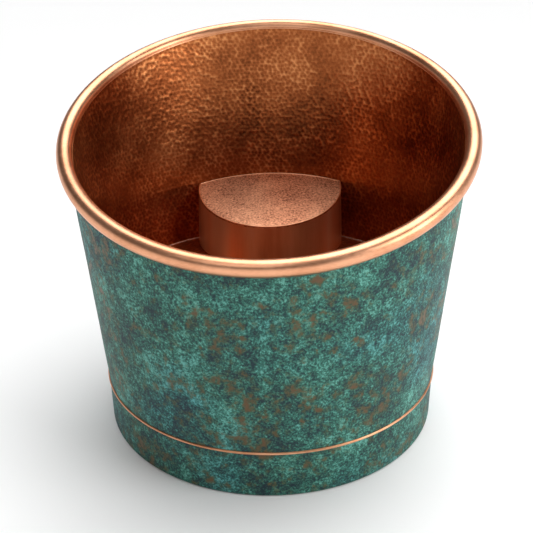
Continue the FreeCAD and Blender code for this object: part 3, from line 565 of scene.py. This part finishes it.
def make_outer_wall():
    """The patinated outer sheet, from the bead up into the rolled rim."""
    bearing = bearings()[None, :]
    share = np.linspace(0.0, 1.0, 70)[:, None]
    top = rim_meets(bearing, 0.0)
    height = BAND_HEIGHT + share * (top - BAND_HEIGHT)
    still = fade(share, 0.0, 0.1) * fade(1 - share, 0.0, 0.1)
    face = around(bearing, outer_radius(height) - waves(bearing, height, 0.25 * MM, 5) * still, height)
    height = height[[0, -1]]
    back = around(bearing, outer_radius(height) - SHEET, height)
    return plate("outer_wall_skin", face, back, True, slot="verdigris_copper")


def make_base_band():
    """The upright band of the base, with the hole for the cable at its back."""
    bearing = bearings()[None, :]
    low, high = BAND_LOW.z, BAND_HEIGHT
    rows = [(BAND_LIP, low), (0.0, low + BAND_LIP)]
    rows += [(0.0, low + BAND_LIP + share * (high - low - BAND_LIP))
             for share in np.linspace(0.1, 1.0, 12)]
    face = np.stack([around(bearing[0], BASE_RADIUS - inset, height) for inset, height in rows])
    back = np.stack([around(bearing[0], BASE_RADIUS - SHEET, height) for height in (low, high)])
    band = plate("base_band_skin", face, back, True, slot="verdigris_copper")
    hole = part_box("wall_grommet")
    centre = (hole[0] + hole[1]) / 2
    drill(band, [cutter("drum", (centre.x, BASE_RADIUS, centre.z), DRILL, BACK)])
    return band


def make_base_bead():
    """A half-round copper wire in the corner between the band and the tapered wall."""
    low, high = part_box("base_bead")
    radius = (high.z - low.z) / 2
    path = around(bearings(), BASE_RADIUS + 0.05 * MM, (low.z + high.z) / 2)
    return wire("base_bead_wire", path, radius, True, sides=14, slot="polished_copper")


ROLL_START = math.radians(184.0)
ROLL_END = math.radians(-106.0)
LIP = 1.6 * MM
PROUD = 0.08 * MM


def roll_centre(bearing):
    """Radius and height of the middle of the rolled tube."""
    height = rim_meets(bearing, ROLL_RADIUS - WALL_GAP)
    return outer_radius(height) + ROLL_RADIUS - WALL_GAP, height


def roll_section(bearing, angle, inset):
    """Points of the tube at an angle from the outward level, its upright size grown on the slope."""
    radius, height = roll_centre(bearing)
    upright = np.sqrt(1 + (RIM_SLOPE * np.cos(bearing)) ** 2)
    reach = ROLL_RADIUS - inset
    return around(bearing, radius + reach * np.cos(angle), height + upright * reach * np.sin(angle))


def make_rim():
    """The top edge rolled outwards into a tube that closes on the outer wall."""
    bearing = bearings()[None, :]
    angle = np.linspace(ROLL_START, ROLL_END, 44)[:, None]
    tube = roll_section(bearing, angle, waves(bearing, angle * 0.02, 0.08 * MM, 11))
    lip_height = roll_section(bearing, angle[:1], 0.0)[..., 2] - LIP
    proud, foot, buried = (around(bearing, basin_radius(lip_height) + aside, lip_height)
                           for aside in (-PROUD, 0.1 * MM, SHEET / 2))
    face = np.concatenate([foot, proud, tube])
    back = np.concatenate([foot, buried, roll_section(bearing, angle, SHEET)])
    return plate("rim_tube", face, back, True, slot="polished_copper")


# ---------------------------------------------------------------- the basin

MARK_PITCH = 4.7 * MM
MARK_DEPTH = 0.32 * MM
WALL_CELL = 1.5 * MM


def basin_marks(bearing, height):
    """The basin wall's hammer marks."""
    middle = basin_radius((FLOOR_HEIGHT + RIM_HEIGHT) / 2)
    count = round(FULL_TURN * middle / MARK_PITCH)
    return hammer_marks(bearing / FULL_TURN * count, (height - SKIRT_LOW) / MARK_PITCH, 21, count)


def make_basin_wall():
    """The hammered inner sheet. Its face is a fine grid that stops under the rolled rim."""
    columns = round(FULL_TURN * basin_radius(RIM_HEIGHT) / WALL_CELL)
    bearing = bearings(columns)
    top = roll_section(bearing[None, :], ROLL_START, 0.0)[0, :, 2]
    rows = int((top.max() - SKIRT_LOW) / WALL_CELL) + 1
    height = SKIRT_LOW + WALL_CELL * np.arange(rows)[:, None]
    still = fade(top[None, :] - height, LIP / 2, 3 * LIP)
    marks = basin_marks(bearing[None, :], height)
    grid = around(bearing, basin_radius(height) + MARK_DEPTH * (1 - marks) * still, height)
    full = np.floor((top - SKIRT_LOW) / WALL_CELL - 0.3).astype(int)
    edge = around(bearing, basin_radius(top), top)
    behind = [around(bearing, basin_radius(level) + SHEET, level)
              for level in (top, np.full_like(top, SKIRT_LOW))]
    points = np.concatenate([grid.reshape(-1, 3), edge, *behind])
    first = rows * columns
    faces = []
    for here in range(columns):
        there = (here + 1) % columns
        shared = min(full[here], full[there])
        for row in range(shared):
            low, high = row * columns, (row + 1) * columns
            faces.append((low + here, low + there, high + there, high + here))
        left = [row * columns + here for row in range(shared, full[here] + 1)]
        right = [row * columns + there for row in range(shared, full[there] + 1)]
        faces.append(left + [first + here, first + there] + right[::-1])
        over, under = first + columns, first + 2 * columns
        faces.append((first + here, over + here, over + there, first + there))
        faces.append((over + here, under + here, under + there, over + there))
        faces.append((under + here, here, there, under + there))
    used = sorted({number for face in faces for number in face})
    renumber = {old: new for new, old in enumerate(used)}
    faces = [[renumber[number] for number in face] for face in faces]
    ridge = np.concatenate([marks.ravel(), np.ones(3 * columns)])
    return new_piece("basin_skin", points[used], faces, slot="hammered_copper", ridge=ridge[used])


def make_basin_floor():
    """The hammered floor: a square grid pressed round into a flat plate, without the turned-down edge.
    """
    cells = 200
    u, v = np.meshgrid(np.linspace(-1, 1, cells), np.linspace(-1, 1, cells), indexing="ij")
    radius = basin_radius(FLOOR_HEIGHT) - 0.1 * MM
    x, y = u * np.sqrt(1 - v * v / 2) * radius, v * np.sqrt(1 - u * u / 2) * radius
    inside = fade(radius - np.hypot(x, y), 0.0, 6 * MM)
    marks = hammer_marks(x / MARK_PITCH + 40, y / MARK_PITCH + 40, 8)
    face = np.stack([x, y, FLOOR_HEIGHT - 0.8 * MARK_DEPTH * (1 - marks) * inside], axis=-1)
    back = np.stack([x, y, np.full_like(x, FLOOR_HEIGHT - SHEET)], axis=-1)
    floor = plate("basin_floor_skin", face, back, False, marks, slot="hammered_copper")
    low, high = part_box("floor_grommet")
    centre = (low + high) / 2
    drill(floor, [cutter("drum", (centre.x, centre.y, FLOOR_HEIGHT), DRILL)])
    return floor


FLOOR_SEAM_RADIUS = 0.9 * MM
CHAMBER_SEAM_RADIUS = 0.8 * MM
EDGE_WIRE_RADIUS = 0.85 * MM


def make_floor_seam():
    """The fillet of solder round the edge of the floor."""
    path = around(bearings(), basin_radius(FLOOR_HEIGHT) - 0.5 * MM, FLOOR_HEIGHT + 0.3 * MM)
    return wire("floor_seam", path, FLOOR_SEAM_RADIUS, True, sides=8)


# ---------------------------------------------------------------- pump chamber and lid


def meeting(height, chamber_edge, basin_edge, side):
    """Bearing about the chamber's axis at which its wall reaches the basin, to the left or right."""
    distance = math.hypot(CHAMBER_X, CHAMBER_Y)
    cosine = (basin_edge ** 2 - distance ** 2 - chamber_edge ** 2) / (2 * distance * chamber_edge)
    outward = math.atan2(CHAMBER_Y, CHAMBER_X)
    return outward - side * np.arccos(np.clip(cosine, -1, 1))


def chamber_point(share, height, inset=0.0, clear=0.0):
    """A point of the chamber wall, from its left end at 0 to its right end at 1."""
    edge = chamber_radius(height)
    left = meeting(height, edge, basin_radius(height) - clear, -1)
    right = meeting(height, edge, basin_radius(height) - clear, 1)
    bearing = left + share * (FULL_TURN + right - left)
    reach = edge - inset
    return np.stack(np.broadcast_arrays(CHAMBER_X + reach * np.cos(bearing),
                                        CHAMBER_Y + reach * np.sin(bearing), height), axis=-1)


def lid_edge_height(share, drop, clear):
    """Height of the lid's plane, lowered by a drop, where it crosses the chamber wall."""
    height = np.full(np.shape(share), LID_HEIGHT - drop)
    for _ in range(8):
        height = lid_plane(chamber_point(share, height, clear=clear)[..., 1]) - drop
    return height


def make_chamber_wall():
    """The smooth curved front of the chamber, with intake slots at its foot."""
    share = np.linspace(0.0, 1.0, 150)[None, :]
    top = lid_edge_height(share, LID_DROP, 0.0)
    level = np.linspace(0.0, 1.0, 36)[:, None]
    height = FLOOR_HEIGHT + level * (top - FLOOR_HEIGHT)
    dent = 0.12 * MM * np.sin(share * 23.0 + 2.0 * np.sin(level * 3.0)) * np.sin(level * math.pi)
    face = chamber_point(share, height, inset=dent)
    back = chamber_point(share, height, inset=SHEET)
    wall = plate("chamber_front", face, back, False, slot="smooth_copper")
    middle = (CHAMBER_X, CHAMBER_Y - CHAMBER_FOOT_RADIUS / 2, FLOOR_HEIGHT + SLOT_HEIGHT / 2 - MM / 2)
    slot = (SLOT_WIDTH, CHAMBER_FOOT_RADIUS * 1.2, SLOT_HEIGHT + MM)
    slots = [cutter("box", (middle[0] + place * SLOT_PITCH, middle[1], middle[2]), slot)
             for place in range(-2, 3)]
    drill(wall, slots)
    return wall


def make_chamber_seams():
    """Thin runs of solder up both ends of the chamber wall."""
    seams = []
    for name, share, aside in (("chamber_seam_left", 0.0, -1), ("chamber_seam_right", 1.0, 1)):
        top = lid_edge_height(np.array(share), LID_DROP, 0.0)
        height = np.linspace(FLOOR_HEIGHT, float(top) - MM, 24)
        path = chamber_point(share, height, inset=-0.3 * MM, clear=0.5 * MM)
        seams.append(wire(name, path, CHAMBER_SEAM_RADIUS, False, sides=8))
    return seams


LID_MARK_PITCH = 3.4 * MM
LID_MARK_DEPTH = 0.09 * MM


def lid_outline(count):
    """The lid's front edge and back edge, each from the left corner to the right one."""
    share = np.linspace(0.0, 1.0, count)
    height = lid_edge_height(share, 0.0, LID_GAP)
    front = chamber_point(share, height, clear=LID_GAP)
    start, end = (math.atan2(point[1], point[0]) for point in (front[0], front[-1]))
    bearing = start + share * (end - start)
    height = np.full(count, LID_HEIGHT)
    for _ in range(8):
        radius = basin_radius(height) - LID_GAP
        height = lid_plane(radius * np.sin(bearing))
    return front, around(bearing, radius, height)


def make_lid():
    """The sloping lid, finely hammered, smoother towards its back edge."""
    columns, rows = 190, 120
    front, rear = lid_outline(columns)
    share = np.linspace(0.0, 1.0, rows)[:, None, None]
    face = front + share * (rear - front)
    x, y = face[..., 0], face[..., 1]
    slope_length = math.sqrt(1 + LID_SLOPE ** 2)
    marks = hammer_marks(x / LID_MARK_PITCH + 60, y * slope_length / LID_MARK_PITCH, 31)
    edge = np.minimum(share[..., 0], 1 - share[..., 0]) * np.linalg.norm(rear - front, axis=-1)
    inside = fade(edge, 0.5 * MM, 4 * MM) * (1 - 0.6 * fade(share[..., 0], 0.55, 0.9))
    face[..., 2] -= LID_MARK_DEPTH * (1 - marks) * inside
    back = front + share * (rear - front)
    back[..., 2] -= LID_DROP
    return plate("lid_plate", face, back, False, marks, body="lid", slot="hammered_copper")


def make_lid_edge():
    """The polished wire round the lid's outline."""
    front, rear = lid_outline(120)
    loop = np.concatenate([front, rear[-2:0:-1]])
    loop[:, 2] -= 0.2 * MM
    inward = loop[:, :2].mean(axis=0) - loop[:, :2]
    loop[:, :2] += inward / np.linalg.norm(inward, axis=1, keepdims=True) * 0.6 * MM
    return wire("lid_edge_wire", loop, EDGE_WIRE_RADIUS, True, body="lid", slot="polished_copper")


# ---------------------------------------------------------------- assembly

for maker, material, nodes in (
    (make_outer_wall, finishes["verdigris_copper"], ["outer_wall"]),
    (make_base_band, finishes["verdigris_copper"], ["base_band"]),
    (make_base_bead, finishes["polished_copper"], ["base_bead"]),
    (make_rim, finishes["polished_copper"], ["rim_roll"]),
    (make_basin_wall, finishes["hammered_copper"], ["basin_wall"]),
    (make_basin_floor, finishes["hammered_copper"], ["basin_floor"]),
    (make_chamber_wall, finishes["smooth_copper"], ["chamber_wall"]),
    (make_lid, lid_copper, ["chamber_lid"]),
):
    made = maker()
    paint(made, material)
    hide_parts(*nodes)

paint(make_floor_seam(), solder)
for seam in make_chamber_seams():
    paint(seam, solder)
paint(make_lid_edge(), finishes["polished_copper"])

slot_of = {part["node"]: part["material_slot"] for part in frame["record"]["subparts"]}
for name, node in frame["nodes"].items():
    paint(node, finishes[slot_of[name]])
    smooth(node.data)

# ---------------------------------------------------------------- floor, light and camera


def make_stage():
    """A wide, plain pale floor."""
    half = 12.0
    mesh = bpy.data.meshes.new("studio_floor")
    mesh.from_pydata([(-half, -half, 0), (half, -half, 0), (half, half, 0), (-half, half, 0)], [],
                     [(0, 1, 2, 3)])
    floor = bpy.data.objects.new("studio_floor", mesh)
    bpy.context.scene.collection.objects.link(floor)
    finish = Finish("studio_white", Roughness=0.9, Specular_IOR_Level=0.0)
    finish.set("Base Color", (0.95, 0.95, 0.95))
    paint(floor, finish.material)


def make_world(low, high):
    """A room that is bright level with the table and darker overhead."""
    world = bpy.data.worlds.new("studio")
    bpy.context.scene.world = world
    world.use_nodes = True
    room = Nodes(world.node_tree)
    height = room.upright(room.node("ShaderNodeTexCoord", {}, {}, "Generated"))
    sky = world.node_tree.nodes["Background"]
    room.feed(sky.inputs["Strength"], room.spread(height, 0.02, 0.35, low, high))
    room.feed(sky.inputs["Color"], (1.0, 1.0, 1.0))


def softbox(name, place, target, size, power):
    """A square area lamp that faces a point."""
    light = bpy.data.lights.new(name, "AREA")
    light.shape = "SQUARE"
    light.size = size
    light.energy = power
    lamp = bpy.data.objects.new(name, light)
    bpy.context.scene.collection.objects.link(lamp)
    lamp.location = place
    lamp.rotation_euler = (Vector(target) - Vector(place)).to_track_quat("-Z", "Y").to_euler()


def make_sun(strength, spread, aside, back):
    """An even wide light from above, leaning to the right and the back."""
    light = bpy.data.lights.new("overhead", "SUN")
    light.energy = strength
    light.angle = spread
    lamp = bpy.data.objects.new("overhead", light)
    bpy.context.scene.collection.objects.link(lamp)
    lamp.rotation_euler = Vector((-aside, -back, -1.0)).to_track_quat("-Z", "Y").to_euler()


LENS, SENSOR = 50.0, 36.0
LOOK_AT = Vector((-3.3 * MM, 2.2 * MM, 151.1 * MM))
LOOK_DISTANCE = 778.3 * MM
LOOK_AZIMUTH = math.radians(3.70)
LOOK_ELEVATION = math.radians(24.56)
LOOK_ROLL = -0.0134


def make_camera():
    """A short telephoto, a little above the rim and almost straight in front."""
    data = bpy.data.cameras.new("camera")
    data.lens, data.sensor_width = LENS, SENSOR
    camera = bpy.data.objects.new("camera", data)
    bpy.context.scene.collection.objects.link(camera)
    level = math.cos(LOOK_ELEVATION)
    back = Vector((math.sin(LOOK_AZIMUTH) * level, -math.cos(LOOK_AZIMUTH) * level,
                   math.sin(LOOK_ELEVATION)))
    right = Vector((0.0, 0.0, 1.0)).cross(back).normalized()
    up = back.cross(right)
    image_right = math.cos(LOOK_ROLL) * right + math.sin(LOOK_ROLL) * up
    image_up = back.cross(image_right)
    place = LOOK_AT + LOOK_DISTANCE * back
    turn = Matrix((image_right, image_up, back)).transposed().to_4x4()
    camera.matrix_world = Matrix.Translation(place) @ turn
    bpy.context.scene.camera = camera


make_stage()
make_world(1.05, 0.10)
make_sun(3.0, math.radians(58.0), 0.12, 0.36)
CENTRE = (0.0, 0.0, 0.2)
softbox("key", (2.0, -0.7, 1.15), CENTRE, 1.2, 25.0)
softbox("fill", (-0.3, -1.2, 1.7), CENTRE, 1.0, 5.0)
make_camera()
bpy.context.scene.view_settings.view_transform = "Standard"
